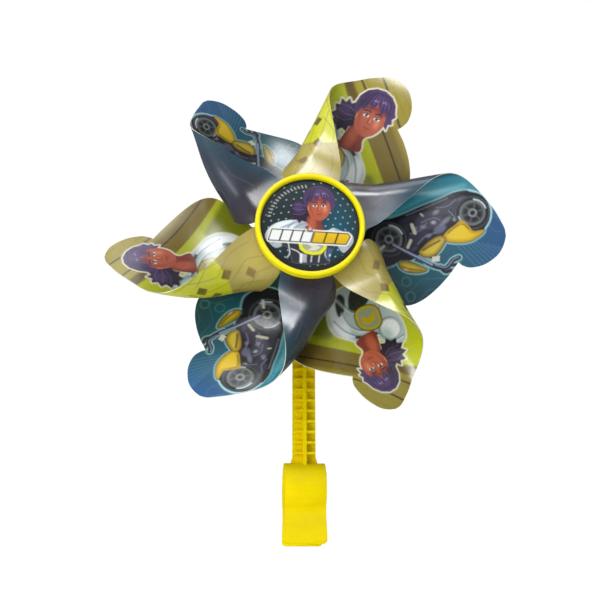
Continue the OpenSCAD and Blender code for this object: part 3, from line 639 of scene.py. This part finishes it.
def surface_group():
    """Shared surface effects: slow mottling, fine grain and their normal, from object coordinates."""
    g = bpy.data.node_groups.new("moulded_surface", "ShaderNodeTree")
    for name, kind in (("Mottle Scale", "NodeSocketFloat"), ("Grain Scale", "NodeSocketFloat"),
                       ("Grain Height", "NodeSocketFloat")):
        g.interface.new_socket(name, in_out="INPUT", socket_type=kind)
    for name, kind in (("Mottle", "NodeSocketFloat"), ("Grain", "NodeSocketFloat"), ("Normal", "NodeSocketVector")):
        g.interface.new_socket(name, in_out="OUTPUT", socket_type=kind)
    nodes, links = g.nodes, g.links
    given, result = nodes.new("NodeGroupInput"), nodes.new("NodeGroupOutput")
    coords = nodes.new("ShaderNodeTexCoord")
    mottle, grain = nodes.new("ShaderNodeTexNoise"), nodes.new("ShaderNodeTexNoise")
    mottle.inputs["Detail"].default_value = 3
    grain.inputs["Detail"].default_value = 2
    bump = nodes.new("ShaderNodeBump")
    bump.inputs["Strength"].default_value = 0.6
    links.new(coords.outputs["Object"], mottle.inputs["Vector"])
    links.new(coords.outputs["Object"], grain.inputs["Vector"])
    links.new(given.outputs["Mottle Scale"], mottle.inputs["Scale"])
    links.new(given.outputs["Grain Scale"], grain.inputs["Scale"])
    links.new(given.outputs["Grain Height"], bump.inputs["Distance"])
    links.new(grain.outputs["Fac"], bump.inputs["Height"])
    links.new(mottle.outputs["Fac"], result.inputs["Mottle"])
    links.new(grain.outputs["Fac"], result.inputs["Grain"])
    links.new(bump.outputs["Normal"], result.inputs["Normal"])
    return g


SURFACE = surface_group()


def surface(nodes, mottle, grain, height):
    use = nodes.new("ShaderNodeGroup")
    use.node_tree = SURFACE
    use.inputs["Mottle Scale"].default_value = mottle
    use.inputs["Grain Scale"].default_value = grain
    use.inputs["Grain Height"].default_value = height
    return use


def ramp(nodes, low, high, a=0.3, b=0.7):
    r = nodes.new("ShaderNodeValToRGB")
    r.color_ramp.elements[0].position, r.color_ramp.elements[1].position = a, b
    r.color_ramp.elements[0].color, r.color_ramp.elements[1].color = (*low, 1), (*high, 1)
    return r


def moulded(name, low, high, rough, specular=0.5, metal=0.0, mottle=70, grain=1800, height=0.00004, glow=0.0):
    """Moulded plastic or plain metal with slow colour drift, worn sheen and a fine surface."""
    m, nodes, links = node_material(name)
    out, skin = nodes.new("ShaderNodeOutputMaterial"), nodes.new("ShaderNodeBsdfPrincipled")
    use = surface(nodes, mottle, grain, height)
    tint = ramp(nodes, low, high)
    sheen = ramp(nodes, (rough[0],) * 3, (rough[1],) * 3)
    links.new(use.outputs["Mottle"], tint.inputs["Fac"])
    links.new(use.outputs["Mottle"], sheen.inputs["Fac"])
    links.new(tint.outputs["Color"], skin.inputs["Base Color"])
    links.new(sheen.outputs["Color"], skin.inputs["Roughness"])
    links.new(use.outputs["Normal"], skin.inputs["Normal"])
    skin.inputs["Metallic"].default_value = metal
    skin.inputs["Specular IOR Level"].default_value = specular
    if glow:
        skin.inputs["Subsurface Weight"].default_value = glow
        skin.inputs["Subsurface Radius"].default_value = (0.004, 0.003, 0.0006)
        skin.inputs["Subsurface Scale"].default_value = 1.0
    links.new(skin.outputs[0], out.inputs[0])
    return m


def printed(name, rough, specular, wave):
    """Printed sheet: ink from the painted layer, print grain, and a slightly wavy gloss."""
    m, nodes, links = node_material(name)
    out, skin = nodes.new("ShaderNodeOutputMaterial"), nodes.new("ShaderNodeBsdfPrincipled")
    ink = nodes.new("ShaderNodeVertexColor")
    ink.layer_name = "print"
    use = surface(nodes, 38, 2600, 0.00001)
    grain = ramp(nodes, (0.93, 0.93, 0.93), (1.05, 1.05, 1.05))
    shade = nodes.new("ShaderNodeMix")
    shade.data_type = "RGBA"
    shade.blend_type = "MULTIPLY"
    shade.inputs["Factor"].default_value = 1
    sheen = ramp(nodes, (rough[0],) * 3, (rough[1],) * 3)
    bump = nodes.new("ShaderNodeBump")
    bump.inputs["Strength"].default_value = 1
    bump.inputs["Distance"].default_value = wave
    links.new(use.outputs["Grain"], grain.inputs["Fac"])
    links.new(ink.outputs["Color"], shade.inputs["A"])
    links.new(grain.outputs["Color"], shade.inputs["B"])
    links.new(shade.outputs["Result"], skin.inputs["Base Color"])
    links.new(use.outputs["Mottle"], sheen.inputs["Fac"])
    links.new(sheen.outputs["Color"], skin.inputs["Roughness"])
    links.new(use.outputs["Mottle"], bump.inputs["Height"])
    links.new(bump.outputs["Normal"], skin.inputs["Normal"])
    skin.inputs["Specular IOR Level"].default_value = specular
    links.new(skin.outputs[0], out.inputs[0])
    return m


FILM_FINISH = printed("glossy_printed_film", (0.24, 0.32), 0.5, 0.0003)
LABEL_FINISH = printed("printed_cap_label", (0.26, 0.34), 0.1, 0.0001)
YELLOW = moulded("yellow_moulded_plastic", (0.83, 0.65, 0.0002), (0.89, 0.71, 0.0004),
                  (0.55, 0.65), specular=0.04, glow=0.15)
CAP_YELLOW = moulded("yellow_cap_plastic", (0.88, 0.76, 0.001), (0.94, 0.82, 0.002),
                      (0.34, 0.44), specular=0.16, glow=0.15)
WHITE = moulded("white_moulded_plastic", (0.74, 0.74, 0.71), (0.8, 0.8, 0.77), (0.38, 0.5))
STEEL = moulded("zinc_plated_steel", (0.56, 0.57, 0.58), (0.68, 0.69, 0.7), (0.24, 0.38), metal=1.0, mottle=260,
                grain=3200, height=0.00002)


def make_mesh(name, verts, faces, colour=None, smooth=True):
    """Mesh of four-sided faces, with a painted layer if there is one."""
    me = bpy.data.meshes.new(name)
    me.vertices.add(len(verts))
    me.vertices.foreach_set("co", np.asarray(verts, float).ravel())
    me.loops.add(faces.size)
    me.loops.foreach_set("vertex_index", faces.ravel().astype(np.int32))
    me.polygons.add(len(faces))
    me.polygons.foreach_set("loop_start", np.arange(0, faces.size, 4, dtype=np.int32))
    me.polygons.foreach_set("use_smooth", np.full(len(faces), smooth))
    me.update(calc_edges=True)
    if colour is not None:
        ink = me.color_attributes.new("print", "FLOAT_COLOR", "POINT")
        ink.data.foreach_set("color", np.concatenate([colour, np.ones((len(colour), 1))], 1).ravel())
    ob = bpy.data.objects.new(name, me)
    bpy.context.scene.collection.objects.link(ob)
    return ob


def build_vane(name):
    turns, print_name, hang = VANES[name]
    pts, quads, rim = NET
    u, s = pts[:, 0], pts[:, 1]
    mid = film_at(u, s, hang)
    n = film_normal(u, s, hang)
    a = math.radians(60 * turns)

    def place(p):
        x, y, z = p[:, 0], p[:, 1], p[:, 2]
        return np.stack([x * math.cos(a) - z * math.sin(a), y + EAR_REAR,
                         HUB_HEIGHT + x * math.sin(a) + z * math.cos(a)], -1) * MM

    front, back = place(mid + n * FILM / 2), place(mid - n * FILM / 2)
    count = len(pts)
    edge_a, edge_b = front[rim], back[rim]
    verts = np.concatenate([front, back, edge_a, edge_b])
    k = np.arange(len(rim))
    nxt = np.roll(k, -1)
    walls = np.stack([2 * count + k, 2 * count + nxt, 2 * count + len(rim) + nxt, 2 * count + len(rim) + k], -1)
    faces = np.concatenate([quads[:, ::-1], quads + count, walls])
    edge = np.tile(rgb(206, 206, 186), (2 * len(rim), 1))
    colour = np.concatenate([PRINTS[print_name + "_front"], PRINTS[print_name + "_back"], edge])
    ob = make_mesh(name + "_film", verts, faces, colour)
    sheet = ob.data.uv_layers.new(name="sheet")
    flat = np.concatenate([pts, pts, pts[rim], pts[rim]]) * 0.01
    sheet.data.foreach_set("uv", flat[faces.ravel()].ravel())
    ob.data.materials.append(FILM_FINISH)
    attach(ob, "rotor")
    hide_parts(name)
    return ob


NET = flat_net()
PRINTS = {
    "rider_front": rider_front(NET[0]),
    "rider_back": rider_back(NET[0]),
    "motorbike_front": motorbike_front(NET[0]),
    "motorbike_back": motorbike_back(NET[0]),
}
for vane in VANES:
    build_vane(vane)


def build_label(rings=104, spokes=300, radius=26.85, back=-42.0, face=-42.3):
    """Printed disc in the cap's recess, with a softly rounded cut edge."""
    r = radius * np.sqrt(np.linspace(0.00002, 1, rings))
    r[-3:] = radius - 0.12, radius - 0.035, radius
    y = np.full(rings, face)
    y[-2:] = face + 0.035, face + 0.12
    r, y = np.append(r, [radius, 0.1]), np.append(y, [back, back])
    t = 2 * math.pi * np.arange(spokes) / spokes
    x, z = np.outer(r, np.cos(t)), np.outer(r, np.sin(t))
    verts = np.stack([x, np.repeat(y[:, None], spokes, 1), z + HUB_HEIGHT], -1).reshape(-1, 3) * MM
    ring = np.arange(len(r) * spokes).reshape(len(r), spokes)
    after = np.roll(ring, -1, 1)
    faces = np.stack([ring[:-1], ring[1:], after[1:], after[:-1]], -1).reshape(-1, 4)
    middle = np.arange(0, spokes - 2, 2)
    caps = [np.stack([np.zeros_like(middle), middle + 1, middle + 2, middle + 3], -1) + first
            for first in (0, ring[-1, 0])]
    caps[0][-1, 3] = spokes - 1
    faces = np.concatenate([faces, caps[0], caps[1][:, ::-1]])
    flat = np.stack([x.ravel(), z.ravel()], -1)
    colour = cap_art(flat)
    colour[ring[-2:].ravel()] = rgb(196, 198, 196)
    ob = make_mesh("cap_label_print", verts, faces, colour)
    ob.data.materials.append(LABEL_FINISH)
    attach(ob, "rotor")
    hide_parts("cap_label")


build_label()


def dress(name, material):
    """Give a carried-over piece its material."""
    ob = bpy.data.objects[name]
    ob.data.materials.clear()
    ob.data.materials.append(material)


for piece, material in (("handlebar_clip", YELLOW), ("stem", YELLOW), ("hub_cap", CAP_YELLOW),
                        ("rear_washer", WHITE), ("hub_sleeve", CAP_YELLOW), ("rear_hub_disc", CAP_YELLOW),
                        ("rear_keeper_ring", CAP_YELLOW), ("front_hub_disc", CAP_YELLOW), ("front_washer", WHITE),
                        ("axle_pin", STEEL), ("axle_push_nut", STEEL)):
    dress(piece, material)


def soften_edges(name, width):
    """Copy of a moulded piece with its sharp edges rounded over."""
    hard = bpy.data.objects[name]
    mesh = hard.data.copy()
    weld = bmesh.new()
    weld.from_mesh(mesh)
    bmesh.ops.remove_doubles(weld, verts=weld.verts, dist=0.005 * MM)
    bmesh.ops.dissolve_limit(weld, angle_limit=math.radians(1), verts=weld.verts, edges=weld.edges)
    weld.to_mesh(mesh)
    weld.free()
    ob = bpy.data.objects.new(name + "_soft_edged", mesh)
    bpy.context.scene.collection.objects.link(ob)
    ob.matrix_world = hard.matrix_world.copy()
    round_over = ob.modifiers.new("round_over", "BEVEL")
    round_over.limit_method = "ANGLE"
    round_over.angle_limit = math.radians(40)
    round_over.width = width * MM
    round_over.segments = 3
    round_over.harden_normals = True
    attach(ob, "stand")
    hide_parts(name)


soften_edges("handlebar_clip", 0.9)


# ---------------------------------------------------------------- camera, light and floor
def aim(ob, target):
    ob.rotation_euler = (Vector(target) - ob.location).to_track_quat("-Z", "Y").to_euler()


def add_camera():
    data = bpy.data.cameras.new("studio_camera")
    cam = bpy.data.objects.new("studio_camera", data)
    bpy.context.scene.collection.objects.link(cam)
    side, rise, away = math.radians(-4.5), math.radians(-17.5), 0.54
    target = Vector((-0.0055, -0.015, 0.1045))
    cam.location = target + away * Vector((math.sin(side) * math.cos(rise), -math.cos(side) * math.cos(rise),
                                           math.sin(rise)))
    aim(cam, target)
    data.lens = 59
    data.sensor_width = 36
    data.clip_start = 0.01
    bpy.context.scene.camera = cam


def area_light(name, place, target, size, power, colour=(1, 1, 1), tall=None):
    data = bpy.data.lights.new(name, "AREA")
    data.shape = "RECTANGLE"
    data.size = size
    data.size_y = tall or size
    data.energy = power
    data.color = colour
    ob = bpy.data.objects.new(name, data)
    bpy.context.scene.collection.objects.link(ob)
    ob.location = place
    aim(ob, target)
    return ob


add_camera()
HUB = Vector((0, -0.03, 0.136))


def from_hub(azimuth, elevation, distance):
    a, e = math.radians(azimuth), math.radians(elevation)
    return HUB + distance * Vector((math.sin(a) * math.cos(e), -math.cos(a) * math.cos(e), math.sin(e)))


# panels seen only in the gloss of the film, and soft lights that leave no reflection of their own
for name, place, wide, tall, power in (("overhead_panel", from_hub(12, 41, 0.9), 0.8, 0.24, 15.0),
                                       ("ceiling_panel", from_hub(-6, 76, 0.8), 0.5, 0.4, 2.6),
                                       ("left_strip", from_hub(-42, -26, 0.5), 0.12, 0.36, 0.55)):
    area_light(name, place, HUB, wide, power, (0.96, 0.98, 1), tall).visible_diffuse = False
for name, place, target, size, power in (("soft_key", from_hub(-18, 46, 1.0), HUB, 0.6, 3.4),
                                         ("soft_left", from_hub(-50, 12, 1.0), HUB, 0.8, 4.0),
                                         ("low_fill", (-0.3, -0.45, -0.1), (-0.02, 0, 0.06), 0.25, 0.85)):
    area_light(name, place, target, size, power).visible_glossy = False

world = bpy.data.worlds.new("studio_air")
bpy.context.scene.world = world
world.use_nodes = True
air = world.node_tree
air.nodes.clear()
seen, glow, path = (air.nodes.new("ShaderNodeBackground"), air.nodes.new("ShaderNodeBackground"),
                    air.nodes.new("ShaderNodeLightPath"))
choose, air_out = air.nodes.new("ShaderNodeMixShader"), air.nodes.new("ShaderNodeOutputWorld")
seen.inputs["Color"].default_value = (1, 1, 1, 1)
seen.inputs["Strength"].default_value = 1.02
glow.inputs["Color"].default_value = (0.97, 0.98, 1, 1)
glow.inputs["Strength"].default_value = 0.3
air.links.new(path.outputs["Is Camera Ray"], choose.inputs[0])
air.links.new(glow.outputs[0], choose.inputs[1])
air.links.new(seen.outputs[0], choose.inputs[2])
air.links.new(choose.outputs[0], air_out.inputs[0])
bpy.context.scene.view_settings.view_transform = "Standard"

floor_mesh = bpy.data.meshes.new("floor")
floor_mesh.from_pydata([(-3, -3, 0), (3, -3, 0), (3, 3, 0), (-3, 3, 0)], [], [(0, 1, 2, 3)])
floor = bpy.data.objects.new("floor", floor_mesh)
bpy.context.scene.collection.objects.link(floor)
floor.location = (0, 0, -0.35)
floor_finish, nodes, links = node_material("pale_floor")
out = nodes.new("ShaderNodeOutputMaterial")
paint = nodes.new("ShaderNodeBsdfPrincipled")
paint.inputs["Base Color"].default_value = (0.9, 0.9, 0.9, 1)
paint.inputs["Roughness"].default_value = 0.9
paint.inputs["Emission Color"].default_value = (1, 1, 1, 1)
paint.inputs["Emission Strength"].default_value = 0.3
links.new(paint.outputs[0], out.inputs[0])
floor_mesh.materials.append(floor_finish)
